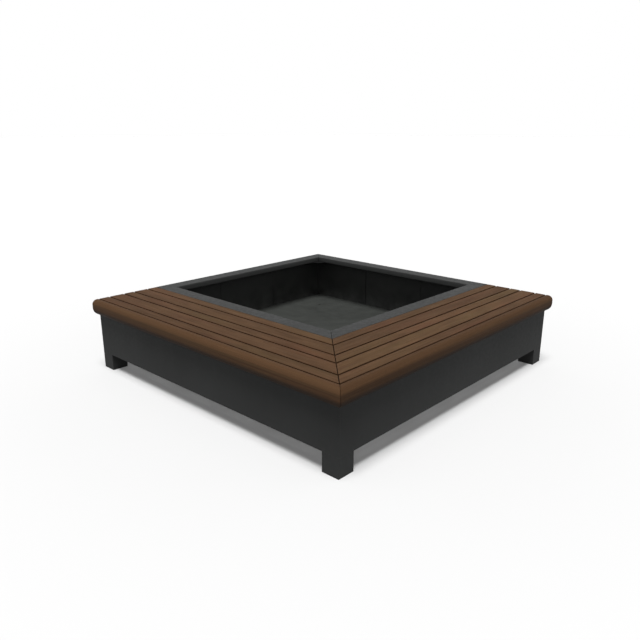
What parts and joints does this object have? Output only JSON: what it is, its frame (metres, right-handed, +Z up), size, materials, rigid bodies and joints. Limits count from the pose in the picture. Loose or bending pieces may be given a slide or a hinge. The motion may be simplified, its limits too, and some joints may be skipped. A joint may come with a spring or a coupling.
{
  "type": "bench with planter",
  "caption": "Square steel planter on box legs, with mitred hardwood bench boards and a rounded front board along two adjoining sides, around an open planting tub with a folded rim.",
  "frame": {"origin": "on the ground at the centre of the square body, which is the centre of the anchor hole pattern", "axes": "+Z up; -Y towards the front bench, +X towards the right bench, so the mitred corner is at +X -Y"},
  "size_m": [2.044, 2.044, 0.45],
  "materials": {
    "casing_paint": "fine-textured satin anthracite powder coat",
    "lining_paint": "matt dark grey coating",
    "frame_paint": "satin anthracite powder coat",
    "hardwood": "oiled brown hardwood",
    "zinc_steel": "bright zinc",
    "foot_rubber": "black moulded rubber"
  },
  "bodies": {
    "root": {"anchor_weld_nuts": "zinc_steel", "base_beam_1": "frame_paint", "base_beam_2": "frame_paint", "base_beam_3": "frame_paint", "bullnose_screws": "zinc_steel", "drain_spouts": "lining_paint", "front_bearer_1": "frame_paint", "front_bearer_2": "frame_paint", "front_bearer_3": "frame_paint", "front_bearer_4": "frame_paint", "front_bullnose": "hardwood", "front_skirt_panel": "casing_paint", "front_slat_1": "hardwood", "front_slat_2": "hardwood", "front_slat_3": "hardwood", "front_slat_4": "hardwood", "front_slat_5": "hardwood", "left_end_panel": "casing_paint", "leg_base_plates": "casing_paint", "leg_left": "casing_paint", "leg_near": "casing_paint", "leg_rear": "casing_paint", "leg_right": "casing_paint", "levelling_foot_nuts": "zinc_steel", "levelling_foot_pads": "foot_rubber", "levelling_foot_stems": "zinc_steel", "lining_front": "lining_paint", "lining_joint_strips": "lining_paint", "lining_left": "lining_paint", "lining_rear": "lining_paint", "lining_right": "lining_paint", "mitre_bearer": "frame_paint", "planter_floor": "lining_paint", "planter_wall_front": "casing_paint", "planter_wall_left": "casing_paint", "planter_wall_rear": "casing_paint", "planter_wall_right": "casing_paint", "rear_end_panel": "casing_paint", "right_bearer_1": "frame_paint", "right_bearer_2": "frame_paint", "right_bearer_3": "frame_paint", "right_bearer_4": "frame_paint", "right_bullnose": "hardwood", "right_skirt_panel": "casing_paint", "right_slat_1": "hardwood", "right_slat_2": "hardwood", "right_slat_3": "hardwood", "right_slat_4": "hardwood", "right_slat_5": "hardwood", "rim_corner_gussets": "casing_paint", "rim_rail_front": "casing_paint", "rim_rail_left": "casing_paint", "rim_rail_rear": "casing_paint", "rim_rail_right": "casing_paint", "slat_screws": "zinc_steel", "wing_nuts": "zinc_steel", "wing_studs": "zinc_steel"}
  },
  "joints": []
}
